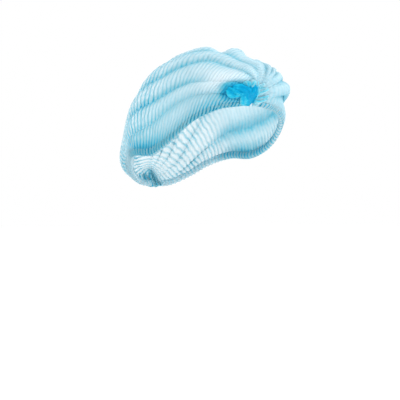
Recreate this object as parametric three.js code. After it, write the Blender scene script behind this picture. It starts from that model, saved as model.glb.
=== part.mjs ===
// A pleated clip cap that covers the hair, in the shape it takes when it is worn.
// Millimetres, +Z up, the brow towards -Y and the wearer's left towards +X.
// The origin is the middle of the opening, where a head sits in the cap.
import * as THREE from 'three';

// Driving sizes
const WEB_WALL = 1.2;        // the pleated web, made as a solid wall
const HEM_HEIGHT = 5;        // the elasticated edge, measured up from the rim
const HEM_WALL = 1.6;
const HEM_RIBS = 58;         // gathers along each side of the rim
const RIB_DEPTH = 0.9;       // how far a gather stands out of the hem at the rim
const RIB_FADE = 0.6;        // the share of that depth at the hem's top
const ELASTIC_RADIUS = 0.8;
const ELASTIC_HEIGHT = 2;    // over the rim
const SEAM = 0.3;            // the gap between two pieces that touch
const BUNCH_RISE = 3.2;      // thickness of the welded bunch over the web
const BUNCH_EDGE = 0.7;      // its thickness where it thins out
const BUNCH_FOLD = 1.1;      // depth of its fan folds
const FRONT_FOLDS = 13;
const REAR_FOLDS = 9;
const FRONT_FACING = new THREE.Vector3(0, -0.8, -0.6);
const REAR_FACING = new THREE.Vector3(0, 0.9, -0.4).normalize();

// The sections of the cap from the brow (u 0) to the nape (u 1). Each is an arch from the rim over
// the top: rimHalf is half its width at the rim, rimY and rimZ the height and place of the rim,
// topY and topZ the top of the arch, and swell how far its sides stand out over the rim.
const SECTIONS = [
  { u: 0.00, rimHalf: 3.0, rimY: -78.0, rimZ: 41.5, topY: -86.0, topZ: 62.5, swell: 0.0 },
  { u: 0.03, rimHalf: 12.0, rimY: -80.0, rimZ: 41.0, topY: -93.0, topZ: 66.0, swell: 4.0 },
  { u: 0.06, rimHalf: 21.0, rimY: -80.0, rimZ: 40.0, topY: -98.0, topZ: 72.0, swell: 7.5 },
  { u: 0.15, rimHalf: 44.0, rimY: -75.0, rimZ: 36.5, topY: -101.0, topZ: 85.0, swell: 10.0 },
  { u: 0.27, rimHalf: 71.0, rimY: -60.5, rimZ: 22.5, topY: -83.0, topZ: 95.0, swell: 2.0 },
  { u: 0.40, rimHalf: 83.0, rimY: -30.0, rimZ: -1.0, topY: -44.5, topZ: 112.5, swell: -3.0 },
  { u: 0.52, rimHalf: 82.5, rimY: 2.5, rimZ: -14.5, topY: 10.5, topZ: 113.5, swell: -2.0 },
  { u: 0.64, rimHalf: 78.5, rimY: 37.0, rimZ: -14.5, topY: 57.0, topZ: 96.5, swell: 4.5 },
  { u: 0.76, rimHalf: 63.5, rimY: 62.0, rimZ: -23.5, topY: 83.0, topZ: 44.0, swell: 9.0 },
  { u: 0.87, rimHalf: 43.5, rimY: 80.0, rimZ: -38.5, topY: 97.5, topZ: -10.0, swell: 15.5 },
  { u: 0.95, rimHalf: 20.5, rimY: 90.0, rimZ: -48.5, topY: 102.0, topZ: -26.0, swell: 8.0 },
  { u: 1.00, rimHalf: 3.0, rimY: 92.0, rimZ: -50.0, topY: 100.0, topZ: -30.0, swell: 0.0 },
];

// The pleat creases from the right rim (v -1) over the top (v 0) to the left rim (v 1), with the v of
// each at four places along the cap, how deep the crease sinks and how high the panel after it puffs.
const CREASES = [
  { name: 'right_rim', brow: -1.00, front: -1.00, rear: -1.00, nape: -1.00, sink: 0.0, puff: 1.2 },
  { name: 'right_band', brow: -0.96, front: -0.72, rear: -0.86, nape: -0.93, sink: 1.5, puff: 3.0 },
  { name: 'right_low', brow: -0.66, front: -0.57, rear: -0.70, nape: -0.82, sink: 3.0, puff: 3.5 },
  { name: 'right_high', brow: -0.46, front: -0.33, rear: -0.52, nape: -0.64, sink: 3.0, puff: 3.8 },
  { name: 'right_top', brow: -0.22, front: -0.17, rear: -0.25, nape: -0.34, sink: 3.5, puff: 4.2 },
  { name: 'middle', brow: 0.04, front: 0.05, rear: 0.02, nape: -0.04, sink: 3.5, puff: 4.5 },
  { name: 'left_top', brow: 0.15, front: 0.17, rear: 0.17, nape: 0.16, sink: 3.0, puff: 4.0 },
  { name: 'left_high', brow: 0.27, front: 0.27, rear: 0.32, nape: 0.36, sink: 3.5, puff: 4.0 },
  { name: 'left_low', brow: 0.47, front: 0.46, rear: 0.54, nape: 0.60, sink: 3.0, puff: 5.0 },
  { name: 'left_band', brow: 0.76, front: 0.80, rear: 0.82, nape: 0.84, sink: 4.0, puff: 3.0 },
  { name: 'left_rim', brow: 1.00, front: 1.00, rear: 1.00, nape: 1.00, sink: 0.0, puff: 0.0 },
];
const CREASE_PLACES = [0, 0.3, 0.62, 1];

// The dents between the puffs over the wearer's left brow: a middle, the heading of the dent in plan
// in degrees from +X, half its length and half its width, and its depth.
const DENTS = [
  { name: 'crown', x: 10, y: -19, z: 114, heading: 48, length: 48, width: 10, depth: 8.5 },
  { name: 'upper', x: 28, y: -50, z: 103, heading: 48, length: 36, width: 9, depth: 9.0 },
  { name: 'lower', x: 37, y: -68, z: 90, heading: 48, length: 30, width: 8, depth: 7.0 },
  { name: 'brow', x: 40, y: -93, z: 77, heading: 48, length: 24, width: 6, depth: 2.5 },
  { name: 'temple', x: 63, y: -77, z: 47, heading: 48, length: 26, width: 9, depth: 3.0 },
];

// How the pleats swell out of the arch
const SWELL_PLACE = 1.6;     // over 1 sets the widest swell nearer the rim
const PUFF_ROUND = 0.8;      // under 1 makes a puff fuller than half a sine wave
const PLEAT_START = [0.04, 0.16];
const PLEAT_END = [0.8, 0.98];

// Mesh steps
const WEB_ROWS = 46;         // sections along the cap
const ROW_CROWDING = 0.06;   // how much closer the sections lie towards the two gathers
const PANEL_STEPS = 4;       // steps across each panel
const ELASTIC_STEPS = 56;
const ELASTIC_GUIDES = 28;   // spans between the points that the cord's curve runs through
const ELASTIC_SIDES = 3;     // steps round the cord
const BUNCH_RINGS = 4;
const TANGENT_STEP = 1e-3;   // the step in u or v that a direction on the cloth is measured over

// Places along the cap, as shares of its length: the bunches' reach and the hem's ends
const FRONT_REACH_RIGHT = 0.075;
const FRONT_REACH_LEFT = 0.045;
const REAR_REACH = 0.035;
const HEM_CLEAR = 0.0016;    // where the hem starts past a bunch
const MAX_EDGE = 0.35;       // the most of the arch that the hem may take at the narrow ends

// A smooth curve through values given at rising places.
function smoothCurve(places, values) {
  const last = places.length - 1;
  const slope = (i) => (values[i + 1] - values[i]) / (places[i + 1] - places[i]);
  const bend = (i) => {
    if (i === 0) return slope(0);
    if (i === last) return slope(last - 1);
    const before = places[i] - places[i - 1];
    const after = places[i + 1] - places[i];
    return (slope(i - 1) * after + slope(i) * before) / (before + after);
  };
  const bends = places.map((_, i) => bend(i));
  return (at) => {
    let i = 0;
    while (i < last - 1 && at > places[i + 1]) i += 1;
    const span = places[i + 1] - places[i];
    const x = (at - places[i]) / span;
    return (2 * x ** 3 - 3 * x ** 2 + 1) * values[i] + (x ** 3 - 2 * x ** 2 + x) * span * bends[i]
      + (3 * x ** 2 - 2 * x ** 3) * values[i + 1] + (x ** 3 - x ** 2) * span * bends[i + 1];
  };
}

const sectionPlaces = SECTIONS.map((row) => row.u);
const sectionCurve = (column) => smoothCurve(sectionPlaces, SECTIONS.map((row) => row[column]));
const rimHalf = sectionCurve('rimHalf');
const rimY = sectionCurve('rimY');
const rimZ = sectionCurve('rimZ');
const topY = sectionCurve('topY');
const topZ = sectionCurve('topZ');
const swell = sectionCurve('swell');
const creaseLines = CREASES.map(
  (row) => smoothCurve(CREASE_PLACES, [row.brow, row.front, row.rear, row.nape]),
);

// The smooth cap without its pleats.
function archPoint(u, v) {
  const turn = v * Math.PI / 2;
  const half = rimHalf(u);
  const outY = rimY(u);
  const plan = Math.hypot(half, outY);
  const side = swell(u) * Math.sin(Math.PI * Math.abs(v) ** SWELL_PLACE);
  return new THREE.Vector3(
    half * Math.sin(turn) + side * Math.sign(v) * half / plan,
    outY + (topY(u) - outY) * Math.cos(turn) + side * outY / plan,
    rimZ(u) + (topZ(u) - rimZ(u)) * Math.cos(turn),
  );
}

// The way out of the cloth at a place of a surface.
function outward(surface, u, v) {
  const alongU = surface(Math.min(u + TANGENT_STEP, 1), v).sub(surface(Math.max(u - TANGENT_STEP, 0), v));
  const alongV = surface(u, Math.min(v + TANGENT_STEP, 1)).sub(surface(u, Math.max(v - TANGENT_STEP, -1)));
  return alongV.cross(alongU).normalize();
}

// How far the pleats lift the cloth off the smooth cap: full in the middle, none at the two gathers.
function pleatRelief(u, v) {
  const { smoothstep } = THREE.MathUtils;
  const fade = smoothstep(u, ...PLEAT_START) * (1 - smoothstep(u, ...PLEAT_END));
  const marks = creaseLines.map((line) => line(u));
  let i = 0;
  while (i < marks.length - 2 && v > marks[i + 1]) i += 1;
  const share = THREE.MathUtils.clamp((v - marks[i]) / (marks[i + 1] - marks[i]), 0, 1);
  const sink = THREE.MathUtils.lerp(CREASES[i].sink, CREASES[i + 1].sink, share);
  return fade * (CREASES[i].puff * Math.sin(Math.PI * share) ** PUFF_ROUND - sink);
}

// How deep the dents press in at a point of the smooth cap.
function dentDepth(point) {
  let depth = 0;
  for (const dent of DENTS) {
    const heading = THREE.MathUtils.degToRad(dent.heading);
    const off = point.clone().sub(new THREE.Vector3(dent.x, dent.y, dent.z));
    const along = off.x * Math.cos(heading) + off.y * Math.sin(heading);
    const across = Math.sqrt(Math.max(off.lengthSq() - along ** 2, 0));
    depth += dent.depth * Math.exp(-((along / dent.length) ** 4) - (across / dent.width) ** 2);
  }
  return depth;
}

// The middle surface of the pleated web.
function webPoint(u, v) {
  const point = archPoint(u, v);
  return point.clone().addScaledVector(outward(archPoint, u, v), pleatRelief(u, v) - dentDepth(point));
}

// The v at which the web stops short of the hem.
function webEdge(u) {
  const perUnit = archPoint(u, 1).distanceTo(archPoint(u, 1 - TANGENT_STEP)) / TANGENT_STEP;
  return 1 - Math.min((HEM_HEIGHT + 2 * SEAM) / perUnit, MAX_EDGE);
}

// The way up the cloth from the rim.
function upFromRim(u, side) {
  return archPoint(u, side * (1 - TANGENT_STEP)).sub(archPoint(u, side)).normalize();
}

// A closed mesh from triangles of points, turned so that its faces look out.
function closedMesh(name, points, triangles, material) {
  const flat = points.flatMap((p) => [p.x, p.y, p.z]);
  let volume = 0;
  for (const [a, b, c] of triangles) {
    volume += points[a].dot(points[b].clone().cross(points[c])) / 6;
  }
  const order = volume > 0 ? triangles : triangles.map(([a, b, c]) => [a, c, b]);
  const geometry = new THREE.BufferGeometry();
  geometry.setAttribute('position', new THREE.Float32BufferAttribute(flat, 3));
  geometry.setIndex(order.flat());
  geometry.computeVertexNormals();
  const mesh = new THREE.Mesh(geometry, material);
  mesh.name = name;
  return mesh;
}

// A wall between an outer and an inner grid of points, closed along its four edges.
function wallMesh(name, outer, inner, material) {
  const rows = outer.length;
  const columns = outer[0].length;
  const points = [...outer.flat(), ...inner.flat()];
  const front = (i, j) => i * columns + j;
  const back = (i, j) => rows * columns + i * columns + j;
  const triangles = [];
  const quad = (a, b, c, d) => triangles.push([a, b, c], [a, c, d]);
  for (let i = 0; i < rows - 1; i += 1) {
    for (let j = 0; j < columns - 1; j += 1) {
      quad(front(i, j), front(i, j + 1), front(i + 1, j + 1), front(i + 1, j));
      quad(back(i, j), back(i + 1, j), back(i + 1, j + 1), back(i, j + 1));
    }
    quad(front(i, 0), front(i + 1, 0), back(i + 1, 0), back(i, 0));
    quad(front(i, columns - 1), back(i, columns - 1), back(i + 1, columns - 1), front(i + 1, columns - 1));
  }
  for (let j = 0; j < columns - 1; j += 1) {
    quad(front(0, j), back(0, j), back(0, j + 1), front(0, j + 1));
    quad(front(rows - 1, j), front(rows - 1, j + 1), back(rows - 1, j + 1), back(rows - 1, j));
  }
  return closedMesh(name, points, triangles, material);
}

// The hollow web: rows from brow to nape, columns that follow the creases.
function makeWeb(material) {
  const outer = [];
  const inner = [];
  for (let i = 0; i <= WEB_ROWS; i += 1) {
    const even = i / WEB_ROWS;
    const u = even - ROW_CROWDING * Math.sin(2 * Math.PI * even);
    const edge = webEdge(u);
    const marks = creaseLines.map((line) => line(u));
    const outerRow = [];
    const innerRow = [];
    for (let panel = 0; panel < marks.length - 1; panel += 1) {
      const steps = panel === marks.length - 2 ? PANEL_STEPS + 1 : PANEL_STEPS;
      for (let k = 0; k < steps; k += 1) {
        const v = edge * THREE.MathUtils.lerp(marks[panel], marks[panel + 1], k / PANEL_STEPS);
        const middle = webPoint(u, v);
        const out = outward(webPoint, u, v);
        outerRow.push(middle.clone().addScaledVector(out, WEB_WALL / 2));
        innerRow.push(middle.clone().addScaledVector(out, -WEB_WALL / 2));
      }
    }
    outer.push(outerRow);
    inner.push(innerRow);
  }
  return wallMesh('pleated_web', outer, inner, material);
}

// One side of the hem: a strip up from the rim whose gathers stand out and in by turns.
function makeHem(name, side, start, end, material) {
  const outer = [];
  const inner = [];
  const steps = 2 * Math.round(HEM_RIBS * (end - start));
  for (let i = 0; i <= steps; i += 1) {
    const u = THREE.MathUtils.lerp(start, end, i / steps);
    const rim = archPoint(u, side);
    const out = outward(archPoint, u, side);
    const rib = i % 2 === 0 ? RIB_DEPTH : -RIB_DEPTH;
    const foot = rim.clone().addScaledVector(out, rib);
    const top = rim.addScaledVector(upFromRim(u, side), HEM_HEIGHT).addScaledVector(out, rib * RIB_FADE);
    outer.push([foot, top].map((p) => p.clone().addScaledVector(out, HEM_WALL / 2)));
    inner.push([foot, top].map((p) => p.clone().addScaledVector(out, -HEM_WALL / 2)));
  }
  return wallMesh(name, outer, inner, material);
}

// The elastic behind one side of the hem, a cord that follows the rim.
function makeElastic(name, side, start, end, material) {
  const depth = HEM_WALL / 2 + RIB_DEPTH + SEAM + ELASTIC_RADIUS;
  const route = [];
  for (let i = 0; i <= ELASTIC_GUIDES; i += 1) {
    const u = THREE.MathUtils.lerp(start, end, i / ELASTIC_GUIDES);
    const rim = archPoint(u, side);
    rim.addScaledVector(upFromRim(u, side), ELASTIC_HEIGHT);
    route.push(rim.addScaledVector(outward(archPoint, u, side), -depth));
  }
  const section = new THREE.Shape().absarc(0, 0, ELASTIC_RADIUS, 0, 2 * Math.PI);
  const cord = new THREE.ExtrudeGeometry(section, {
    steps: ELASTIC_STEPS,
    curveSegments: ELASTIC_SIDES,
    bevelEnabled: false,
    extrudePath: new THREE.CatmullRomCurve3(route),
  });
  const mesh = new THREE.Mesh(cord, material);
  mesh.name = name;
  return mesh;
}

// A welded bunch over one end of the web. Its rings lie round the end's narrow slot, from the right
// rim over the top to the left rim, its fan folds run out from the slot, and it closes the slot.
function makeBunch(name, end, facing, reach, folds, material) {
  const columns = 2 * folds;
  const outer = [];
  const inner = [];
  const lift = WEB_WALL / 2 + 2 * SEAM;
  for (let ring = 0; ring <= BUNCH_RINGS; ring += 1) {
    const share = ring / BUNCH_RINGS;
    const outerRow = [];
    const innerRow = [];
    for (let j = 0; j <= columns; j += 1) {
      const v = THREE.MathUtils.lerp(-1, 1, j / columns);
      const u = end === 0 ? reach(v) * share : 1 - reach(v) * share;
      const middle = webPoint(u, v);
      const fold = j % 2 === 0 ? 0 : BUNCH_FOLD * Math.sin(Math.PI * share);
      const rise = THREE.MathUtils.lerp(BUNCH_RISE, BUNCH_EDGE, share ** 2) + fold;
      innerRow.push(middle.clone().addScaledVector(facing, lift));
      outerRow.push(middle.clone().addScaledVector(facing, lift + rise));
    }
    outer.push(outerRow);
    inner.push(innerRow);
  }
  const across = columns + 1;
  const points = [...outer.flat(), ...inner.flat()];
  const front = (i, j) => i * across + j;
  const back = (i, j) => (BUNCH_RINGS + 1) * across + i * across + j;
  const triangles = [];
  const quad = (a, b, c, d) => triangles.push([a, b, c], [a, c, d]);
  for (let i = 0; i < BUNCH_RINGS; i += 1) {
    for (let j = 0; j < columns; j += 1) {
      quad(front(i, j), front(i, j + 1), front(i + 1, j + 1), front(i + 1, j));
      quad(back(i, j), back(i + 1, j), back(i + 1, j + 1), back(i, j + 1));
    }
    quad(front(i, 0), front(i + 1, 0), back(i + 1, 0), back(i, 0));
    quad(front(i, columns), back(i, columns), back(i + 1, columns), front(i + 1, columns));
  }
  for (let j = 0; j < columns; j += 1) {
    quad(front(BUNCH_RINGS, j), front(BUNCH_RINGS, j + 1), back(BUNCH_RINGS, j + 1), back(BUNCH_RINGS, j));
  }
  // The slot between the right and the left half, closed on the outside and on the inside.
  for (let j = 0; j < folds; j += 1) {
    const mirror = columns - j;
    if (j === folds - 1) {
      triangles.push([front(0, j), front(0, mirror), front(0, folds)]);
      triangles.push([back(0, j), back(0, folds), back(0, mirror)]);
    } else {
      quad(front(0, j), front(0, mirror), front(0, mirror - 1), front(0, j + 1));
      quad(back(0, j), back(0, j + 1), back(0, mirror - 1), back(0, mirror));
    }
  }
  quad(front(0, 0), back(0, 0), back(0, columns), front(0, columns));
  return closedMesh(name, points, triangles, material);
}

// How far the front bunch reaches: more to the wearer's right than to the left.
function frontReach(v) {
  const side = (v + 1) / 2;
  return THREE.MathUtils.lerp(FRONT_REACH_RIGHT, FRONT_REACH_LEFT, side);
}

// A matt material of one colour.
function matt(name, color, roughness) {
  return new THREE.MeshStandardMaterial({ name, color, roughness, metalness: 0 });
}

const web = matt('web', 0xa9d9ea, 0.8);
const gathered = matt('gathered', 0x7fcbe2, 0.8);
const welded = matt('welded', 0x12bdee, 0.6);
const elastic = matt('elastic', 0xeef4f6, 0.7);

const rearEnd = 1 - REAR_REACH - HEM_CLEAR;
const rightStart = FRONT_REACH_RIGHT + HEM_CLEAR;
const leftStart = FRONT_REACH_LEFT + HEM_CLEAR;

const cap = new THREE.Group();
cap.name = 'clip_cap';
cap.add(makeWeb(web));
cap.add(makeHem('hem_right', -1, rightStart, rearEnd, gathered));
cap.add(makeHem('hem_left', 1, leftStart, rearEnd, gathered));
cap.add(makeElastic('elastic_right', -1, rightStart, rearEnd, elastic));
cap.add(makeElastic('elastic_left', 1, leftStart, rearEnd, elastic));
cap.add(makeBunch('front_bunch', 0, FRONT_FACING, frontReach, FRONT_FOLDS, welded));
cap.add(makeBunch('rear_bunch', 1, REAR_FACING, () => REAR_REACH, REAR_FOLDS, welded));

export default cap;
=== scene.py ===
"""A pleated clip cap of crimped non-woven cloth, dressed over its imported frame."""

import math

import bmesh
import bpy
import numpy as np
from bpy.props import FloatProperty, FloatVectorProperty, IntProperty, PointerProperty
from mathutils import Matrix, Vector
from mathutils.bvhtree import BVHTree


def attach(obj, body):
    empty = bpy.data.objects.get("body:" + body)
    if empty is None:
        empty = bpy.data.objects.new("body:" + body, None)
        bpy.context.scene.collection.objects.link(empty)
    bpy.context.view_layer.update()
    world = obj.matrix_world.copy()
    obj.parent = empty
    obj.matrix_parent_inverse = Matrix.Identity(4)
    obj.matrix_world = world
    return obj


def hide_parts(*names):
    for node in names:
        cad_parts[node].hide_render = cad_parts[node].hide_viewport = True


bl_info = {
    "name": "Pleated clip cap",
    "version": (1, 0, 0),
    "blender": (4, 5, 0),
    "location": "View3D > Sidebar > Clip cap",
    "description": "Builds a pleated, crimped clip cap in the shape it takes when it is worn",
    "category": "Add Mesh",
}

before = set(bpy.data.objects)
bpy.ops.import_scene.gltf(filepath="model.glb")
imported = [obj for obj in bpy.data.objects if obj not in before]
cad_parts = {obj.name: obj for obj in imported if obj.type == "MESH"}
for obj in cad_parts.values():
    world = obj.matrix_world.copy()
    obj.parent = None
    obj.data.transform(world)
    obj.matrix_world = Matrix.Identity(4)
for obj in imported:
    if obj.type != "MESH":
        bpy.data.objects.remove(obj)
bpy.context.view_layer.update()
MM = 0.001


def linear(hex_colour):
    """An sRGB hex colour as the linear values that Blender's sockets take."""
    parts = [int(hex_colour[i:i + 2], 16) / 255 for i in (1, 3, 5)]
    return tuple(c / 12.92 if c <= 0.04045 else ((c + 0.055) / 1.055) ** 2.4 for c in parts)


# The sections of the cap from the brow (u 0) to the nape (u 1), in millimetres: half the width at the
# rim, the rim's y and z, the top's y and z, and how far the sides stand out over the rim.
SECTIONS = (
    # u, rim_half, rim_y, rim_z, top_y, top_z, swell
    (0.00, 3.0, -78.0, 41.5, -86.0, 62.5, 0.0),
    (0.03, 12.0, -80.0, 41.0, -93.0, 66.0, 4.0),
    (0.06, 21.0, -80.0, 40.0, -98.0, 72.0, 7.5),
    (0.15, 44.0, -75.0, 36.5, -101.0, 85.0, 10.0),
    (0.27, 71.0, -60.5, 22.5, -83.0, 95.0, 2.0),
    (0.40, 83.0, -30.0, -1.0, -44.5, 112.5, -3.0),
    (0.52, 82.5, 2.5, -14.5, 10.5, 113.5, -2.0),
    (0.64, 78.5, 37.0, -14.5, 57.0, 96.5, 4.5),
    (0.76, 63.5, 62.0, -23.5, 83.0, 44.0, 9.0),
    (0.87, 43.5, 80.0, -38.5, 97.5, -10.0, 15.5),
    (0.95, 20.5, 90.0, -48.5, 102.0, -26.0, 8.0),
    (1.00, 3.0, 92.0, -50.0, 100.0, -30.0, 0.0),
)

# The pleat creases from the right rim to the left rim: the v of each at four places along the cap,
# how deep the crease sinks and how high the panel after it puffs, in millimetres.
CREASE_PLACES = (0.0, 0.3, 0.62, 1.0)
CREASES = (
    # brow, front, rear, nape, sink, puff
    (-1.00, -1.00, -1.00, -1.00, 0.0, 1.2),
    (-0.96, -0.72, -0.86, -0.93, 1.5, 3.0),
    (-0.66, -0.57, -0.70, -0.82, 3.0, 3.5),
    (-0.46, -0.33, -0.52, -0.64, 3.0, 3.8),
    (-0.22, -0.17, -0.25, -0.34, 3.5, 4.2),
    (0.04, 0.05, 0.02, -0.04, 3.5, 4.5),
    (0.15, 0.17, 0.17, 0.16, 3.0, 4.0),
    (0.27, 0.27, 0.32, 0.36, 3.5, 4.0),
    (0.47, 0.46, 0.54, 0.60, 3.0, 5.0),
    (0.76, 0.80, 0.82, 0.84, 4.0, 3.0),
    (1.00, 1.00, 1.00, 1.00, 0.0, 0.0),
)

# The dents between the puffs over the left brow: a middle, the heading in plan in degrees from +X,
# half the length, half the width and the depth.
DENTS = (
    # x, y, z, heading, length, width, depth
    (10, -19, 114, 48, 48, 10, 8.5),
    (28, -50, 103, 48, 36, 9, 9.0),
    (37, -68, 90, 48, 30, 8, 7.0),
    (40, -93, 77, 48, 24, 6, 2.5),
    (63, -77, 47, 48, 26, 9, 3.0),
)


# The folds of the front bunch and of the nape's bunch, drawn on the web from the front or the back:
# where a fold starts, its heading in degrees from +X, its length, width and rise, how many ripples
# cross it, and how deep its colour is, from 0 for one layer to 1 for all of them; on the pale curls
# of the front bunch a low depth is partly a painted highlight.
FRONT_FOLDS = (
    # x, z, heading, length, width, rise, ripples, deep
    (-14, 46, 158, 30, 10, 3.6, 2, 0.95),
    (-30, 53, 168, 22, 9, 3.2, 2, 0.85),
    (-16, 48, 162, 33, 13, 4.2, 3, 1.00),
    (-4, 44, 150, 34, 13, 4.2, 3, 1.00),
    (-3, 44, 132, 27, 14, 4.6, 3, 1.00),
    (-12, 50, 128, 17, 13, 5.2, 2, 1.00),
    (-4, 46, 108, 19, 10, 4.8, 1, 0.95),
    # These three curls on top are pale as painted highlights where they catch the light.
    (-22, 60, 80, 9, 6, 5.0, 2, 0.40),
    (-28, 58, 120, 10, 7, 4.4, 3, 0.60),
    (-13, 59, 90, 9, 6, 5.0, 2, 0.35),
    # These four curls right of the core are pale partly as painted highlights.
    (-4, 46, 78, 20, 7, 4.4, 1, 0.45),
    (-2, 49, 44, 17, 9, 3.4, 2, 0.60),
    (-1, 47, 18, 16, 8, 2.8, 2, 0.60),
    (-3, 53, 60, 15, 8, 3.4, 2, 0.45),
)
REAR_FOLDS = (
    # x, z, heading, length, width, rise, ripples, deep
    (0, -50, 90, 22, 12, 2.4, 2, 0.34),
    (2, -48, 132, 18, 10, 2.6, 2, 0.36),
    (-2, -48, 48, 18, 10, 2.6, 2, 0.36),
    (3, -47, 165, 15, 8, 2.0, 2, 0.30),
    (-3, -47, 15, 15, 8, 2.0, 2, 0.30),
)

# The front bunch's core, where the most layers are welded together, as seen from the front: points
# along it and how far its deep colour reaches at each, in millimetres.
BUNCH_CORE = (
    # x, z, reach
    (-5, 46, 9),
    (-13, 54, 11),
    (-25, 56, 10),
    (-46, 57, 9),
)

# The hem's fold round the elastic, from outside the web round its lower edge and up inside it: how
# high over the rim and how far out of the unpleated cap, in millimetres, the share of the gathers'
# depth and the depth of colour.
HEM_FOLD = (
    # up, out, gather, deep
    (7.6, 0.4, 0.90, 0.50),
    (5.6, 0.8, 0.85, 0.62),
    (3.4, 0.9, 0.75, 0.68),
    (1.4, 0.7, 0.60, 0.60),
    (0.0, 0.0, 0.40, 0.38),
    (-0.9, -1.4, 0.28, 0.26),
    (-0.6, -3.2, 0.22, 0.34),
    (1.2, -4.9, 0.20, 0.45),
    (3.6, -5.3, 0.22, 0.50),
    (6.0, -4.4, 0.28, 0.45),
    (8.0, -2.6, 0.45, 0.40),
)

# Where along a panel the web's columns lie: close together in the fold at each crease.
PANEL_COLUMNS = (0, 0.05, 0.10, 0.15, 0.20, 0.30, 0.42, 0.56, 0.70, 0.80, 0.85, 0.90, 0.95)

# The powers that move the sides' swell down towards the rim and make a panel's puff round.
SWELL_POWER = 1.6
PUFF_POWER = 0.8

# The share of a rib's height that varies, the share that stays at the bunches and the share that the
# puffs over the left brow take away.
RIB_UNREST = 0.35
RIBS_AT_BUNCHES = 0.15
BROW_LESS_RIBS = 0.5

# The share of a fan fold's height that those puffs take away, and the height of the rear fans as a
# share of the front ones.
BROW_LESS_FANS = 0.4
REAR_FANS = 0.7

# The share of the pleats' overlap that the stretched temple takes away, and how many times the overlap
# a panel has to be wide to take a full fold.
TEMPLE_LESS_OVERLAP = 0.85
FULL_FOLD_WIDTH = 4.5

# How deep the web looks, as shares of the welded bunch's depth.
WEB_DEPTHS = {
    "panel": 0.13,
    "brow puff": 0.05,
    "lowest panels": 0.06,
    "crease": 0.3,
    "side crease": 0.14,
    "rim": 0.03,
    "right rim": 0.27,
    "ear": 0.62,
    "brow": 0.06,
    "nape": 0.05,
    "rear end": 0.25,
    "deepest": 1.3,
}

# How strongly the lines of the ribs show, from 0 to 1.
WEB_LINES = {
    "panel": 0.09,
    "crease": 0.4,
    "rim": 0.42,
    "less at the nape's rim": 0.2,
    "brow": 0.3,
    "back": 0.24,
    "nape": 0.12,
    "faintest": 0.03,
    "left side": 0.45,
}

# The shares of depth or of lines that stretching takes away, and the share of the temple's lines
# that a painted sheen takes away.
STRETCH_AND_SHEEN_TAKE = {
    "back": 0.75,
    "back of the lowest panels": 0.4,
    "nape": 0.6,
    "left front lines": 0.4,
    "temple lines under the painted sheen": 0.6,
}

# The share of its panel that a crease's dark line takes up, and the sink in millimetres from which the
# line shows in full.
CREASE_WIDTH = 0.2
FULL_SINK = 3.5

# How far up the gathers' colour reaches from the rim, and how much farther by the front bunch.
GATHER_REACH = 12.8
FRONT_GATHER_REACH = 6.0


class CapSizes(bpy.types.PropertyGroup):
    """Sizes of the cap's cloth."""

    ribs: IntProperty(name="Gathers", default=58, min=20,
                      description="Crimp ribs from the brow to the nape")
    rib_depth: FloatProperty(name="Rib depth", default=0.38, min=0,
                             description="Half the height of a rib on the panels, in mm")
    band_depth: FloatProperty(name="Band rib depth", default=1.2, min=0,
                              description="Half the height of a rib at the rim, in mm")
    band_width: FloatProperty(name="Band width", default=11.3, min=0,
                              description="How far the deep gathers reach up, in mm")
    fans: IntProperty(name="Fan folds", default=17, min=1,
                      description="Small folds that fan out of each bunch")
    fan_depth: FloatProperty(name="Fan depth", default=1.1, min=0,
                             description="Half the height of a fan fold, in mm")
    overlap: FloatProperty(name="Pleat overlap", default=1.5, min=0,
                           description="How far a pleat is laid over the next, in mm")
    overlap_gap: FloatProperty(name="Pleat gap", default=1.1, min=0,
                               description="Half the gap between a pleat's layers, in mm")
    fold_share: FloatProperty(name="Fold share", default=0.2, min=0.01,
                              description="The share of a panel that its fold takes up")
    cloth: FloatProperty(name="Cloth", description="Thickness of the cloth", default=0.3 * MM,
                         subtype="DISTANCE", unit="LENGTH")
    bunch_cloth: FloatProperty(name="Bunch cloth", description="Thickness of the welded layers",
                               default=0.7 * MM, subtype="DISTANCE", unit="LENGTH")


class CapColours(bpy.types.PropertyGroup):
    """Colours of the cap."""

    sheer: FloatVectorProperty(name="Sheer web", subtype="COLOR", default=linear("#EFF6F9"),
                               description="One stretched layer")
    single: FloatVectorProperty(name="Single web", subtype="COLOR", default=linear("#B6DBE5"),
                                description="One crimped layer")
    layered: FloatVectorProperty(name="Layered web", subtype="COLOR", default=linear("#6DCADC"),
                                 description="Where pleats and gathers lie in layers")
    gathered: FloatVectorProperty(name="Gathered web", subtype="COLOR", default=linear("#21B8D8"),
                                  description="The deep gathers by the rim")
    bunched: FloatVectorProperty(name="Bunch", subtype="COLOR", default=linear("#009CCB"),
                                 description="The welded bunch of many layers")
    elastic: FloatVectorProperty(name="Elastic", subtype="COLOR", default=linear("#EEF4F6"),
                                 description="The elastic cord")
    floor: FloatVectorProperty(name="Floor", subtype="COLOR", default=linear("#FDFDFD"),
                               description="The studio floor")


# The cap's surface

def smooth_curve(places, values, at):
    """A smooth curve through values at rising places, the same as in the part's source."""
    places = np.asarray(places, float)
    values = np.asarray(values, float)
    spans = np.diff(places)
    slopes = np.diff(values) / spans
    bends = np.empty(len(places))
    bends[1:-1] = (slopes[:-1] * spans[1:] + slopes[1:] * spans[:-1]) / (spans[:-1] + spans[1:])
    bends[0], bends[-1] = slopes[0], slopes[-1]
    i = np.clip(np.searchsorted(places, at, side="right") - 1, 0, len(places) - 2)
    x = (at - places[i]) / spans[i]
    return ((2 * x**3 - 3 * x**2 + 1) * values[i] + (x**3 - 2 * x**2 + x) * spans[i] * bends[i]
            + (3 * x**2 - 2 * x**3) * values[i + 1] + (x**3 - x**2) * spans[i] * bends[i + 1])


def smooth_step(x, low, high):
    t = np.clip((x - low) / (high - low), 0, 1)
    return t * t * (3 - 2 * t)


def hill(x, middle, reach):
    """1 at the middle, 0.37 at the reach from it and on down to 0."""
    return np.exp(-(((x - middle) / reach) ** 2))


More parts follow.
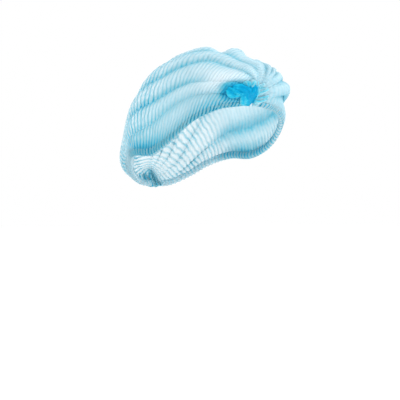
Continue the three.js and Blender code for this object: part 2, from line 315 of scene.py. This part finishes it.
def arch_point(u, v):
    """The smooth cap without its pleats, in millimetres."""
    columns = np.array(SECTIONS).T
    half, rim_y, rim_z, top_y, top_z, swell = (smooth_curve(columns[0], c, u) for c in columns[1:])
    turn = v * math.pi / 2
    plan = np.hypot(half, rim_y)
    side = swell * np.sin(math.pi * np.abs(v) ** SWELL_POWER)
    return np.stack([
        half * np.sin(turn) + side * np.sign(v) * half / plan,
        rim_y + (top_y - rim_y) * np.cos(turn) + side * rim_y / plan,
        rim_z + (top_z - rim_z) * np.cos(turn),
    ], axis=-1)


def outward(surface, u, v, step=1e-3):
    """The way out of the cloth at places of a surface."""
    along_u = surface(np.minimum(u + step, 1), v) - surface(np.maximum(u - step, 0), v)
    along_v = surface(u, np.minimum(v + step, 1)) - surface(u, np.maximum(v - step, -1))
    out = np.cross(along_v, along_u)
    return out / np.linalg.norm(out, axis=-1, keepdims=True)


def crease_marks(u):
    """The v of every crease at u, as the last axis."""
    return np.stack([smooth_curve(CREASE_PLACES, row[:4], u) for row in CREASES], axis=-1)


def panel_place(u, v):
    """Which panel v lies in, and how far across it."""
    marks = crease_marks(u)
    panel = np.clip((v[..., None] > marks).sum(-1) - 1, 0, len(CREASES) - 2)
    low = np.take_along_axis(marks, panel[..., None], -1)[..., 0]
    high = np.take_along_axis(marks, panel[..., None] + 1, -1)[..., 0]
    return panel, np.clip((v - low) / (high - low), 0, 1)


def pleat_fade(u):
    """Pleats stand full in the middle of the cap and close up at the two bunches."""
    return smooth_step(u, 0.04, 0.16) * (1 - smooth_step(u, 0.8, 0.98))


def pleat_relief(u, v):
    table = np.array(CREASES)
    panel, share = panel_place(u, v)
    sink = table[panel, 4] * (1 - share) + table[panel + 1, 4] * share
    return pleat_fade(u) * (table[panel, 5] * np.sin(math.pi * share) ** PUFF_POWER - sink)


def dent_depth(points):
    depth = np.zeros(points.shape[:-1])
    for x, y, z, heading, length, width, deep in DENTS:
        turn = math.radians(heading)
        off = points - np.array([x, y, z])
        along = off[..., 0] * math.cos(turn) + off[..., 1] * math.sin(turn)
        across = np.maximum((off**2).sum(-1) - along**2, 0)
        depth += deep * np.exp(-((along / length) ** 4) - across / width**2)
    return depth


def web_point(u, v):
    """The middle surface of the pleated web, in millimetres."""
    points = arch_point(u, v)
    return points + outward(arch_point, u, v) * (pleat_relief(u, v) - dent_depth(points))[..., None]


def wander(u, v, seed=0.0):
    """A slow, even unrest between -1 and 1, for folds that aren't all alike."""
    return (np.sin(7.3 * u + 5.1 * v + seed) + np.sin(13.7 * u - 8.9 * v + 2.1 + seed)
            + np.sin(23.9 * u + 17.3 * v + 4.4 * seed) + np.sin(41.3 * u - 29.7 * v + 0.7)) / 4


def rim_distance(u, v):
    """How far a place lies up from the nearer rim, in millimetres, by the arch's length."""
    columns = np.array(SECTIONS).T
    half, rim_y, rim_z, top_y, top_z = (smooth_curve(columns[0], c, u) for c in columns[1:6])
    rise = np.hypot(top_y - rim_y, top_z - rim_z)
    quarter_ellipse = math.pi / 4 * (1.5 * (half + rise) - np.sqrt(half * rise))
    return (1 - np.abs(v)) * quarter_ellipse


def rib_count(u, v, ribs):
    """How many ribs lie between the brow and a place, with the wander of real crimping."""
    return ribs * u + 0.24 * wander(2 * u, 2 * v) + 0.14 * np.sin(3 * v + 9 * u)


def rib_wave(u, v, ribs):
    """The crimp ribs across the cap: 1 on a ridge, -1 in a valley."""
    phase = 2 * math.pi * rib_count(u, v, ribs)
    return np.sin(phase) + 0.22 * np.sin(2 * phase + 1.3)


def left_brow(u, v):
    """The puffs over the left brow, from 0 to 1, where the cloth is crimped least."""
    return smooth_step(v, 0.0, 0.15) * (1 - smooth_step(u, 0.3, 0.45))


def rib_height(u, v, sizes):
    """The crimp ribs' displacement in millimetres."""
    band = hill(rim_distance(u, v), 0, sizes.band_width)
    free = smooth_step(u, 0.02, 0.16) * (1 - smooth_step(u, 0.93, 1))
    depth = sizes.rib_depth * (1 + RIB_UNREST * wander(u, v, 3.0)) * (1 - band) + sizes.band_depth * band
    depth *= (RIBS_AT_BUNCHES + (1 - RIBS_AT_BUNCHES) * free) * (1 - BROW_LESS_RIBS * left_brow(u, v))
    return depth * rib_wave(u, v, sizes.ribs)


def fan_height(u, v, sizes):
    """The small folds that fan out of the two bunches, in millimetres."""
    near = hill(u, 0.08, 0.05) + REAR_FANS * hill(u, 0.94, 0.04)
    wave = np.sin(sizes.fans * math.pi * v + 2.5 * wander(0.6 * u, 1.7 * v, 1.0))
    calm = (1 - np.abs(v) ** 8) * (1 - BROW_LESS_FANS * left_brow(u, v))
    return sizes.fan_depth * near * wave * calm


def overlap_shift(share, sizes):
    """The fold at each crease: how far a place is shifted along v and out of the web, in millimetres."""
    from_crease = np.where(share < 0.5, share, share - 1) / sizes.fold_share
    near = np.clip(from_crease, -1, 1)
    along = -sizes.overlap * np.sin(math.pi * near)
    settle = 1 - smooth_step(np.abs(from_crease), 1.0, 2.4)
    out = -sizes.overlap_gap * np.sin(math.pi / 2 * near) * settle
    return along, out


def folded_web_point(u, panel, share, sizes):
    """The crimped web with its pleats laid over each other, and the v of each place."""
    marks = crease_marks(u)
    rows = np.arange(len(u))
    width = marks[rows, panel + 1] - marks[rows, panel]
    along, out = overlap_shift(share, sizes)
    # No pleat is laid over at the two rims, and none at the bunches.
    inside = np.where(share < 0.5, panel > 0, panel < len(CREASES) - 2)
    v = marks[rows, panel] + width * share
    fade = pleat_fade(u) * inside * (1 - TEMPLE_LESS_OVERLAP * temple_stretch_and_sheen(u, v))
    per_v = rim_distance(u, np.zeros_like(u))
    # A narrow panel takes a narrower fold.
    fit = np.minimum(1, width * per_v / (FULL_FOLD_WIDTH * sizes.overlap))
    v = np.clip(v + fade * fit * along / per_v, -1, 1)
    lift = rib_height(u, v, sizes) + fan_height(u, v, sizes) + fade * fit * out
    return web_point(u, v) + outward(web_point, u, v) * lift[:, None], v


# Meshes

def place_mesh(name, bm, positions):
    """Finishes a grid's mesh: its vertices go to positions in millimetres, and its faces look out."""
    for vert, place in zip(bm.verts, positions):
        vert.co = Vector(place) * MM
    bmesh.ops.recalc_face_normals(bm, faces=bm.faces)
    mesh = bpy.data.meshes.new(name)
    bm.to_mesh(mesh)
    bm.free()
    mesh.shade_smooth()
    piece = bpy.data.objects.new(name, mesh)
    bpy.context.collection.objects.link(piece)
    return piece


def grid(segments_u, segments_v):
    """A flat grid with its UV map, and the u and v of its vertices from 0 to 1."""
    bm = bmesh.new()
    layer = bm.loops.layers.uv.new("cut")
    bmesh.ops.create_grid(bm, x_segments=segments_u, y_segments=segments_v, size=0.5)
    bm.verts.ensure_lookup_table()
    flat = np.array([(v.co.x + 0.5, v.co.y + 0.5) for v in bm.verts])
    for face in bm.faces:
        for loop in face.loops:
            loop[layer].uv = (loop.vert.co.x + 0.5, loop.vert.co.y + 0.5)
    return bm, flat[:, 0], flat[:, 1]


def point_attribute(piece, name, values):
    attribute = piece.data.attributes.new(name, "FLOAT", "POINT")
    attribute.data.foreach_set("value", np.asarray(values, np.float32))


def web_tree(start, end, rows=24, columns=60):
    """A search tree of the smooth web between two places along the cap."""
    u, v = np.meshgrid(np.linspace(start, end, rows), np.linspace(-1, 1, columns), indexing="ij")
    points = web_point(u.ravel(), v.ravel())
    faces = [(i * columns + j, i * columns + j + 1, (i + 1) * columns + j + 1, (i + 1) * columns + j)
             for i in range(rows - 1) for j in range(columns - 1)]
    return BVHTree.FromPolygons([Vector(p) for p in points], faces)


def thicken(piece, thickness):
    wall = piece.modifiers.new("cloth", "SOLIDIFY")
    wall.thickness = thickness
    wall.offset = 0
    wall.use_even_offset = False


# Materials

def new_material(name):
    material = bpy.data.materials.new(name)
    material.use_nodes = True
    tree = material.node_tree
    tree.nodes.clear()
    return material, tree


def add_node(tree, kind, inputs=None, **settings):
    """Adds a node with its settings. Inputs, by name or number, are values or other nodes' outputs."""
    node = tree.nodes.new(kind)
    for key, value in settings.items():
        setattr(node, key, value)
    for key, value in (inputs or {}).items():
        if isinstance(value, bpy.types.NodeSocket):
            tree.links.new(value, node.inputs[key])
        else:
            node.inputs[key].default_value = value
    return node


def spunbond(name, colours, glow_share=0.45, shine=0.4):
    """Spunbond polypropylene: fine bonded threads, thin enough to let light and shapes through."""
    material, tree = new_material(name)
    layers, ribs, strength, open_share = (
        add_node(tree, "ShaderNodeAttribute", attribute_name=attribute).outputs["Fac"]
        for attribute in ("layers", "ribs", "lines", "open"))
    place = add_node(tree, "ShaderNodeTexCoord").outputs["Object"]
    # The threads' cloudy spread, about 6 mm from thick to thin.
    cloud = add_node(tree, "ShaderNodeTexNoise", {"Vector": place, "Scale": 160.0, "Detail": 3.0})
    # The threads themselves are drawn 0.5 mm apart, coarser than the real 0.02 mm, so that they show.
    threads = add_node(tree, "ShaderNodeTexNoise", {"Vector": place, "Scale": 1900.0, "Detail": 2.0})
    # Each rib's valley shows as one thin dark line that wanders by a tenth of its pitch:
    # partly folded cloth, partly painted shade in the valley.
    unrest = add_node(tree, "ShaderNodeMath", {0: cloud.outputs["Fac"], 1: 0.5}, operation="SUBTRACT")
    drift = add_node(tree, "ShaderNodeMath", {0: unrest.outputs[0], 1: 0.5, 2: ribs},
                     operation="MULTIPLY_ADD")
    turn = add_node(tree, "ShaderNodeMath", {0: drift.outputs[0], 1: 2 * math.pi}, operation="MULTIPLY")
    wave = add_node(tree, "ShaderNodeMath", {0: turn.outputs[0]}, operation="SINE")
    line = add_node(tree, "ShaderNodeMapRange", {"Value": wave.outputs[0], "From Min": 0.15,
                                                 "From Max": -1.0}, interpolation_type="SMOOTHSTEP")
    # The crimp is set deeper in some patches, some 30 mm wide, than in others.
    patch = add_node(tree, "ShaderNodeTexNoise", {"Vector": place, "Scale": 34.0, "Detail": 2.0})
    uneven = add_node(tree, "ShaderNodeMath", {0: patch.outputs["Fac"], 1: 1.8, 2: 0.05},
                      operation="MULTIPLY_ADD")
    crimp = add_node(tree, "ShaderNodeMath", {0: strength, 1: uneven.outputs[0]}, operation="MULTIPLY")
    lines = add_node(tree, "ShaderNodeMath", {0: line.outputs[0], 1: crimp.outputs[0]},
                     operation="MULTIPLY")
    spread = add_node(tree, "ShaderNodeMath", {0: cloud.outputs["Fac"], 1: 0.7, 2: 0.35},
                      operation="MULTIPLY_ADD")
    amount = add_node(tree, "ShaderNodeMath", {0: layers, 1: spread.outputs[0], 2: lines.outputs[0]},
                      operation="MULTIPLY_ADD", use_clamp=True)
    ramp = add_node(tree, "ShaderNodeValToRGB", {"Fac": amount.outputs[0]})
    stops = ramp.color_ramp.elements
    stops[0].color = (*colours.sheer, 1)
    stops[1].color = (*colours.bunched, 1)
    for where, colour in ((0.2, colours.single), (0.48, colours.layered), (0.75, colours.gathered)):
        stops.new(where).color = (*colour, 1)
    bump = add_node(tree, "ShaderNodeBump", {"Height": threads.outputs["Fac"], "Strength": 0.25,
                                             "Distance": 0.0002})
    body = add_node(tree, "ShaderNodeBsdfPrincipled", {
        "Base Color": ramp.outputs["Color"], "Normal": bump.outputs["Normal"],
        "Roughness": 0.55, "IOR": 1.49, "Specular IOR Level": shine})
    glow = add_node(tree, "ShaderNodeBsdfTranslucent", {"Color": ramp.outputs["Color"]})
    cloth = add_node(tree, "ShaderNodeMixShader", {0: glow_share, 1: body.outputs[0], 2: glow.outputs[0]})
    # Between the ribs and where the web is one layer, more of what lies behind shows.
    thin = add_node(tree, "ShaderNodeMapRange", {"Value": amount.outputs[0], "From Min": 0.0,
                                                 "From Max": 0.62, "To Min": 1.0, "To Max": 0.04})
    see_through = add_node(tree, "ShaderNodeMath", {0: thin.outputs[0], 1: open_share},
                           operation="MULTIPLY")
    gap = add_node(tree, "ShaderNodeBsdfTransparent")
    mixed = add_node(tree, "ShaderNodeMixShader", {0: see_through.outputs[0], 1: cloth.outputs[0],
                                                   2: gap.outputs[0]})
    add_node(tree, "ShaderNodeOutputMaterial", {"Surface": mixed.outputs[0]})
    return material


def elastic_rubber(colours):
    """Covered elastic thread: matt white, wound, so that it is slightly grained."""
    material, tree = new_material("Covered elastic")
    place = add_node(tree, "ShaderNodeTexCoord").outputs["Object"]
    wound = add_node(tree, "ShaderNodeTexNoise", {"Vector": place, "Scale": 900.0, "Detail": 2.0})
    ramp = add_node(tree, "ShaderNodeValToRGB", {"Fac": wound.outputs["Fac"]})
    ramp.color_ramp.elements[0].color = (*(0.75 * c for c in colours.elastic), 1)
    ramp.color_ramp.elements[1].color = (*colours.elastic, 1)
    bump = add_node(tree, "ShaderNodeBump", {"Height": wound.outputs["Fac"], "Strength": 0.4,
                                             "Distance": 0.0003})
    body = add_node(tree, "ShaderNodeBsdfPrincipled", {
        "Base Color": ramp.outputs["Color"], "Normal": bump.outputs["Normal"],
        "Roughness": 0.75, "IOR": 1.5})
    add_node(tree, "ShaderNodeOutputMaterial", {"Surface": body.outputs[0]})
    return material


def dress(piece, material):
    piece.data.materials.clear()
    piece.data.materials.append(material)
    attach(piece, "root")


# Pieces

def core_share(x, z):
    """How much of the bunch's deep colour a place has, from 0 to 1, as seen from the front."""
    share = np.zeros(x.shape)
    for (x0, z0, reach0), (x1, z1, reach1) in zip(BUNCH_CORE, BUNCH_CORE[1:]):
        run = (x1 - x0) ** 2 + (z1 - z0) ** 2
        t = np.clip(((x - x0) * (x1 - x0) + (z - z0) * (z1 - z0)) / run, 0, 1)
        away = np.hypot(x - x0 - t * (x1 - x0), z - z0 - t * (z1 - z0))
        share = np.maximum(share, np.exp(-((away / (reach0 + t * (reach1 - reach0))) ** 4)))
    return share


def nape_stretch(u):
    """How far the cloth at u is stretched open down the nape, from 0 to 1."""
    return smooth_step(u, 0.62, 0.74)


def temple_stretch_and_sheen(u, v):
    """How far the web is stretched over the right temple, and how strong its painted sheen is, from 0 to 1.
    """
    return hill(u, 0.24, 0.1) * hill(v, -0.54, 0.14)


def back_stretch(u, v):
    """How far the web is stretched over the right and the middle of the back, from 0 to 1."""
    return smooth_step(u, 0.44, 0.66) * smooth_step(0.15 - v, 0.0, 0.3)


def web_layers(u, v):
    """How deep the web looks, with 1 for the welded bunch, and how strongly its ribs' lines show."""
    panel, share = panel_place(u, v)
    # A crease's deeper colour grows with how deep it sinks: partly the pleat's layers, partly painted shade
    # in the crease.
    sinks = np.array(CREASES)[:, 4] / FULL_SINK
    crease = np.maximum(sinks[panel] * hill(share, 0, CREASE_WIDTH),
                        sinks[panel + 1] * hill(share, 1, CREASE_WIDTH)) * pleat_fade(u)
    # The gathers reach up highest beside the front bunch.
    band = hill(rim_distance(u, v), 0, GATHER_REACH + FRONT_GATHER_REACH * hill(u, 0.15, 0.12))
    right = smooth_step(-v, -0.2, 0.3)
    # They are pulled tightest over the ear and beside the front bunch.
    ear = hill(u, 0.55, 0.09)
    brow = hill(u, 0, 0.17) * right
    places = arch_point(u, v)
    core = core_share(places[..., 0], places[..., 2]) * smooth_step(-places[..., 1], 60, 75)
    # The web is stretched thin over the back and the nape; over the right temple its paler colour
    # is a painted sheen.
    temple = temple_stretch_and_sheen(u, v)
    back = back_stretch(u, v)
    nape = nape_stretch(u)
    # The lowest panels lie double.
    low = smooth_step(-v, 0.55, 0.75)
    depths = WEB_DEPTHS
    ground = depths["panel"] + depths["brow puff"] * left_brow(u, v) + depths["lowest panels"] * low
    ground *= 1 - STRETCH_AND_SHEEN_TAKE["back"] * back * (1 - STRETCH_AND_SHEEN_TAKE["back of the lowest panels"] * low)
    side = smooth_step(u, 0.3, 0.5) * right
    crease *= (depths["crease"] + depths["side crease"] * side) * (1 - temple)
    gathers = depths["rim"] + depths["right rim"] * right + depths["ear"] * ear + depths["brow"] * brow
    depth = ground * (1 - temple) + crease + band * gathers + core
    end = depths["nape"] * nape + depths["rear end"] * hill(u, 1, 0.05)
    layers = np.clip(depth * (1 - STRETCH_AND_SHEEN_TAKE["nape"] * nape) + end, 0, depths["deepest"])
    # The lines are faint on the panels and strong in the gathers and where the cloth is stretched.
    lines = WEB_LINES
    tight = band * (lines["rim"] - lines["less at the nape's rim"] * nape + lines["brow"] * brow)
    tight *= 1 - STRETCH_AND_SHEEN_TAKE["left front lines"] * hill(u, 0, 0.25) * (1 - right)
    shown = lines["panel"] + lines["crease"] * crease + tight + lines["back"] * back * (1 - nape)
    # The painted sheen over the temple takes lines away.
    shown *= 1 - STRETCH_AND_SHEEN_TAKE["temple lines under the painted sheen"] * temple
    shown *= lines["left side"] + (1 - lines["left side"]) * right
    return layers, np.clip(shown, lines["faintest"], 1) + lines["nape"] * nape


class CAP_OT_web(bpy.types.Operator):
    """Makes the pleated and crimped web"""

    bl_idname = "cap.make_web"
    bl_label = "Pleated web"
    steps_per_rib = 5
    open_share = 0.38
    open_when_stretched = 0.28
    closed_at_temple = 0.6

    def execute(self, context):
        sizes = context.scene.cap_sizes
        columns = len(PANEL_COLUMNS)
        bm, along, across = grid(sizes.ribs * self.steps_per_rib, (len(CREASES) - 1) * columns)
        column = np.rint(across * (len(CREASES) - 1) * columns).astype(int)
        panel = np.minimum(column // columns, len(CREASES) - 2)
        share = np.where(column // columns > panel, 1.0, np.array(PANEL_COLUMNS)[column % columns])
        points, v = folded_web_point(along, panel, share, sizes)
        piece = place_mesh("web", bm, points)
        layers, lines = web_layers(along, v)
        point_attribute(piece, "layers", layers)
        point_attribute(piece, "lines", lines)
        point_attribute(piece, "ribs", rib_count(along, v, sizes.ribs))
        stretch = np.maximum(back_stretch(along, v), nape_stretch(along))
        # Over the temple the web is drawn less open, under its painted sheen.
        free = 1 - self.closed_at_temple * temple_stretch_and_sheen(along, v)
        point_attribute(piece, "open", (self.open_share + self.open_when_stretched * stretch) * free)
        thicken(piece, sizes.cloth)
        dress(piece, spunbond("Crimped spunbond web", context.scene.cap_colours))
        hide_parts("pleated_web")
        return {"FINISHED"}


class CAP_OT_hem(bpy.types.Operator):
    """Makes the hem's fold on each side, gathered over the elastic"""

    bl_idname = "cap.make_hem"
    bl_label = "Gathered hem"
    steps_per_rib = 6
    right_start = 0.05
    left_start = 0.03
    rear_end = 0.985
    steps_per_row = 2
    ripple_rise = 0.25
    crumple = 0.16
    crumples_per_rib = 4
    depth_share = 0.85
    depth_less_at_nape = 0.55
    depth_less_at_left_brow = 0.5
    lines_share = 0.7
    least_lines = 0.1
    lines_less_at_nape = 0.5
    open_share = 0.2
    open_at_nape = 0.35

    def execute(self, context):
        colours = context.scene.cap_colours
        material = spunbond("Gathered spunbond hem", colours)
        for name, side, start in (("hem_right", -1, self.right_start), ("hem_left", 1, self.left_start)):
            self.make_side(context, name, side, start, material)
        return {"FINISHED"}

    def make_side(self, context, name, side, start, material):
        sizes = context.scene.cap_sizes
        rows = self.steps_per_row * (len(HEM_FOLD) - 1)
        steps = round(sizes.ribs * (self.rear_end - start)) * self.steps_per_rib
        bm, along, across = grid(steps, rows)
        u = start + (self.rear_end - start) * along
        at = across * (len(HEM_FOLD) - 1)
        places = np.arange(len(HEM_FOLD))
        up, out, gather, deep = (smooth_curve(places, column, at) for column in np.array(HEM_FOLD).T)
        rim = np.full_like(u, side)
        normal = outward(arch_point, u, rim)
        rise = arch_point(u, rim * 0.98) - arch_point(u, rim)
        rise /= np.linalg.norm(rise, axis=-1, keepdims=True)
        ripple = gather * rib_height(u, rim, sizes)
        # Small crumples cross the tightly gathered fold.
        turns = self.crumples_per_rib * rib_count(u, rim, sizes.ribs)
        crumple = self.crumple * np.sin(2 * math.pi * turns + 3 * wander(9 * u, at))
        points = arch_point(u, rim) + rise * (up + self.ripple_rise * ripple)[:, None]
        points += normal * (out + ripple + crumple)[:, None]
        piece = place_mesh("folded_" + name, bm, points)
        nape = nape_stretch(u)
        depth = deep * (self.depth_share - self.depth_less_at_nape * nape)
        depth *= 1 - self.depth_less_at_left_brow * left_brow(u, rim)
        lines = (self.lines_share * deep + self.least_lines) * (1 - self.lines_less_at_nape * nape)
        point_attribute(piece, "layers", depth)
        point_attribute(piece, "lines", lines)
        point_attribute(piece, "open", self.open_share + self.open_at_nape * nape)
        point_attribute(piece, "ribs", rib_count(u, rim, sizes.ribs))
        thicken(piece, sizes.cloth)
        dress(piece, material)
        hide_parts(name)


class CAP_OT_bunches(bpy.types.Operator):
    """Makes the folds of the front bunch and of the nape's bunch"""

    bl_idname = "cap.make_bunches"
    bl_label = "Bunches"
    steps_along = 22
    steps_across = 18
    lift = 2.4
    bend = 0.12
    pucker_height = 1.5
    crumple_height = 0.6
    glow_share = 0.15
    shine = 0.05
    lines_share = 0.08
    open_share = 0.05
    ribs_per_mm = 0.3
    front_y = -86.0
    rear_y = 98.0

    def execute(self, context):
        sizes = context.scene.cap_sizes
        material = spunbond("Welded spunbond bunch", context.scene.cap_colours, self.glow_share, self.shine)
        for name, folds, tree, depth in (
                ("front_bunch", FRONT_FOLDS, web_tree(0.0, 0.3), self.front_y),
                ("rear_bunch", REAR_FOLDS, web_tree(0.8, 1.0), self.rear_y)):
            bm = bmesh.new()
            places = []
            layers = []
            for number, fold in enumerate(folds):
                points, deep = self.fold_points(fold, tree, depth, number)
                places.append(points)
                layers.append(deep)
                self.add_fold(bm)
            points = np.concatenate(places)
            piece = place_mesh("folds_of_" + name, bm, points)
            point_attribute(piece, "layers", np.concatenate(layers))
            point_attribute(piece, "lines", np.full(len(points), self.lines_share))
            point_attribute(piece, "ribs", points[:, 0] * self.ribs_per_mm)
            point_attribute(piece, "open", np.full(len(points), self.open_share))
            thicken(piece, sizes.bunch_cloth)
            dress(piece, material)
            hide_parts(name)
        return {"FINISHED"}

    def add_fold(self, bm):
        bmesh.ops.create_grid(bm, x_segments=self.steps_along, y_segments=self.steps_across, size=0.5)

    def fold_points(self, fold, tree, depth, number):
        """One fold's vertices: a puckered leaf laid on the web, and how deep its colour is, with painted
        shade along the pucker.
        """
        x, z, heading, length, width, rise, ripples, deep = fold
        columns, rows = self.steps_along + 1, self.steps_across + 1
        t, a = np.meshgrid(np.linspace(0, 1, columns), np.linspace(-1, 1, rows), indexing="xy")
        t, a = t.ravel(), a.ravel()
        turn = math.radians(heading)
        # The leaf bends sideways a little, every second one the other way.
        bend = (1 if number % 2 else -1) * self.bend * length * np.sin(math.pi * t)
        half = 0.5 * width * np.sin(math.pi * (0.1 + 0.82 * t)) ** 0.6
        across = a * half + bend
        flat_x = x + length * t * math.cos(turn) - across * math.sin(turn)
        flat_z = z + length * t * math.sin(turn) + across * math.cos(turn)
        body = np.sin(math.pi * (0.06 + 0.9 * t)) ** 0.6
        puff = rise * body * (1 - a**2) ** 0.55
        pucker = np.cos(math.pi * ripples * a + 4 * t + number) * body * (1 - 0.5 * a**2)
        pucker *= self.pucker_height
        crumple = self.crumple_height * np.sin(9 * t + 7 * a + 2.3 * number) * np.sin(11 * a - 6 * t) * body
        height = self.lift + puff + pucker + crumple
        points = np.empty((len(t), 3))
        for i, (px, pz, h) in enumerate(zip(flat_x, flat_z, height)):
            facing = Vector((0, math.copysign(1, depth), 0))
            ground = tree.ray_cast(Vector((px, 3 * depth, pz)), -facing)[0]
            if ground is None:
                ground = tree.find_nearest(Vector((px, depth, pz)))[0]
            points[i] = Vector((px, ground.y, pz)) + facing * h
        core = core_share(flat_x, flat_z) if depth < 0 else 1.0
        # Away from the core less than half of the deep colour stays; the pucker's ripples add painted
        # shade, deepest on their crests, and a little painted light in their hollows.
        layers_and_pucker_shade = 1.3 * deep * (0.45 + 0.55 * core) + 0.16 * pucker + 0.12 * np.abs(pucker)
        return points, np.clip(layers_and_pucker_shade, 0.1, 1.8)


class CAP_OT_elastic(bpy.types.Operator):
    """Gives the elastic its finish"""

    bl_idname = "cap.make_elastic"
    bl_label = "Elastic"

    def execute(self, context):
        material = elastic_rubber(context.scene.cap_colours)
        for name in ("elastic_right", "elastic_left"):
            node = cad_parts[name]
            node.data.materials.clear()
            node.data.materials.append(material)
        return {"FINISHED"}


class CAP_OT_stage(bpy.types.Operator):
    """Makes the floor, the lights and the camera"""

    bl_idname = "cap.make_stage"
    bl_label = "Stage"
    azimuth = math.radians(-42.0)
    distance = 1.6
    pixel = 1.2 * MM
    aim_pixel = (204.6, 144.0)
    frame_pixels = 400
    floor_height = -0.247
    floor_half = 6.0
    floor_glow = 0.08
    lamp_aim = Vector((0, 0, 0.03))
    lamps = (
        # name, place, size, watts
        ("key", (0.7, -1.4, 1.0), 0.7, 20.0),
        ("fill", (-1.3, -0.5, 0.9), 1.2, 3.0),
        ("back", (0.2, 1.3, 1.2), 1.0, 3.0),
        ("low", (-1.3, -1.3, -0.15), 0.8, 2.0),
    )

    def execute(self, context):
        self.make_floor(context)
        self.make_lights(context)
        self.make_camera(context)
        return {"FINISHED"}

    def make_floor(self, context):
        bm = bmesh.new()
        bmesh.ops.create_grid(bm, x_segments=1, y_segments=1, size=self.floor_half)
        mesh = bpy.data.meshes.new("floor")
        bm.to_mesh(mesh)
        bm.free()
        floor = bpy.data.objects.new("floor", mesh)
        floor.location.z = self.floor_height
        context.collection.objects.link(floor)
        material, tree = new_material("White studio floor")
        place = add_node(tree, "ShaderNodeTexCoord").outputs["Object"]
        speck = add_node(tree, "ShaderNodeTexNoise", {"Vector": place, "Scale": 60.0})
        bump = add_node(tree, "ShaderNodeBump", {"Height": speck.outputs["Fac"], "Strength": 0.02})
        body = add_node(tree, "ShaderNodeBsdfPrincipled", {
            "Normal": bump.outputs["Normal"], "Roughness": 0.9,
            "Base Color": (*context.scene.cap_colours.floor, 1),
            "Emission Color": (1, 1, 1, 1), "Emission Strength": self.floor_glow})
        add_node(tree, "ShaderNodeOutputMaterial", {"Surface": body.outputs[0]})
        mesh.materials.append(material)

    def make_lights(self, context):
        world = bpy.data.worlds.new("studio")
        context.scene.world = world
        world.use_nodes = True
        world.node_tree.nodes["Background"].inputs["Color"].default_value = (1, 1, 1, 1)
        world.node_tree.nodes["Background"].inputs["Strength"].default_value = 1.0
        for name, place, size, watts in self.lamps:
            light = bpy.data.lights.new(name, "AREA")
            light.size = size
            light.energy = watts
            lamp = bpy.data.objects.new(name, light)
            lamp.location = place
            lamp.rotation_euler = (self.lamp_aim - lamp.location).to_track_quat("-Z", "Y").to_euler()
            context.collection.objects.link(lamp)

    def make_camera(self, context):
        right = Vector((math.cos(self.azimuth), math.sin(self.azimuth), 0))
        back = Vector((math.sin(self.azimuth), -math.cos(self.azimuth), 0))
        middle = self.frame_pixels / 2
        aim = right * (middle - self.aim_pixel[0]) * self.pixel
        aim.z = (self.aim_pixel[1] - middle) * self.pixel
        data = bpy.data.cameras.new("camera")
        data.lens = data.sensor_width * self.distance / (self.frame_pixels * self.pixel)
        camera = bpy.data.objects.new("camera", data)
        camera.location = aim + back * self.distance
        camera.rotation_euler = (-back).to_track_quat("-Z", "Y").to_euler()
        context.collection.objects.link(camera)
        context.scene.camera = camera
        context.scene.view_settings.view_transform = "Standard"


class CAP_PT_panel(bpy.types.Panel):
    """Lists the cap's pieces"""

    bl_idname = "CAP_PT_panel"
    bl_label = "Clip cap"
    bl_space_type = "VIEW_3D"
    bl_region_type = "UI"
    bl_category = "Clip cap"

    def draw(self, context):
        for operator in OPERATORS:
            self.layout.operator(operator.bl_idname)


OPERATORS = (CAP_OT_web, CAP_OT_hem, CAP_OT_bunches, CAP_OT_elastic, CAP_OT_stage)
CLASSES = (CapSizes, CapColours, *OPERATORS, CAP_PT_panel)


def register():
    for item in CLASSES:
        bpy.utils.register_class(item)
    bpy.types.Scene.cap_sizes = PointerProperty(type=CapSizes)
    bpy.types.Scene.cap_colours = PointerProperty(type=CapColours)


def unregister():
    del bpy.types.Scene.cap_colours
    del bpy.types.Scene.cap_sizes
    for item in reversed(CLASSES):
        bpy.utils.unregister_class(item)


def main():
    register()
    for operator in OPERATORS:
        module, name = operator.bl_idname.split(".")
        getattr(getattr(bpy.ops, module), name)()


if __name__ == "__main__":
    main()
